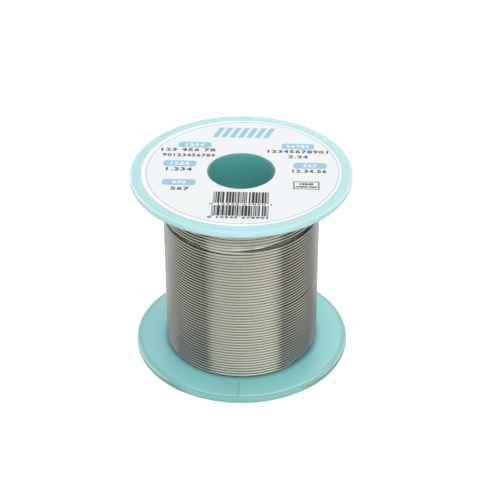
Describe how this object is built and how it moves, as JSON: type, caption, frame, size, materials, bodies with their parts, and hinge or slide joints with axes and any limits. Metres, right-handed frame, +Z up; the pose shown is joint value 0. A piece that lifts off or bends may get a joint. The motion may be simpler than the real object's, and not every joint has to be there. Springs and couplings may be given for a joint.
{
  "type": "solder wire spool",
  "caption": "Round two-flanged plastic spool with a through bore and a printed paper disc on its upper flange, close-wound from flange to flange with flux-cored solder wire.",
  "frame": {"origin": "middle of the lower flange's outer face, on the axis of the bore", "axes": "+Z up the bore, from the lower flange to the labelled one; +X to the right of the label's print, -Y towards its lower edge"},
  "size_m": [0.066, 0.066, 0.0615],
  "materials": {
    "spool_plastic": "satin moulded polystyrene, mint green",
    "label_paper": "coated white paper, smooth",
    "solder": "drawn tin alloy, soft bright grey",
    "rosin_flux": "set amber rosin"
  },
  "bodies": {
    "root": {"spool": "spool_plastic", "top_label": "label_paper", "solder_inner_layers": "solder", "solder_outer_layer": "solder", "solder_free_end": "solder", "flux_core": "rosin_flux", "solder_start_end": "solder"}
  },
  "joints": []
}
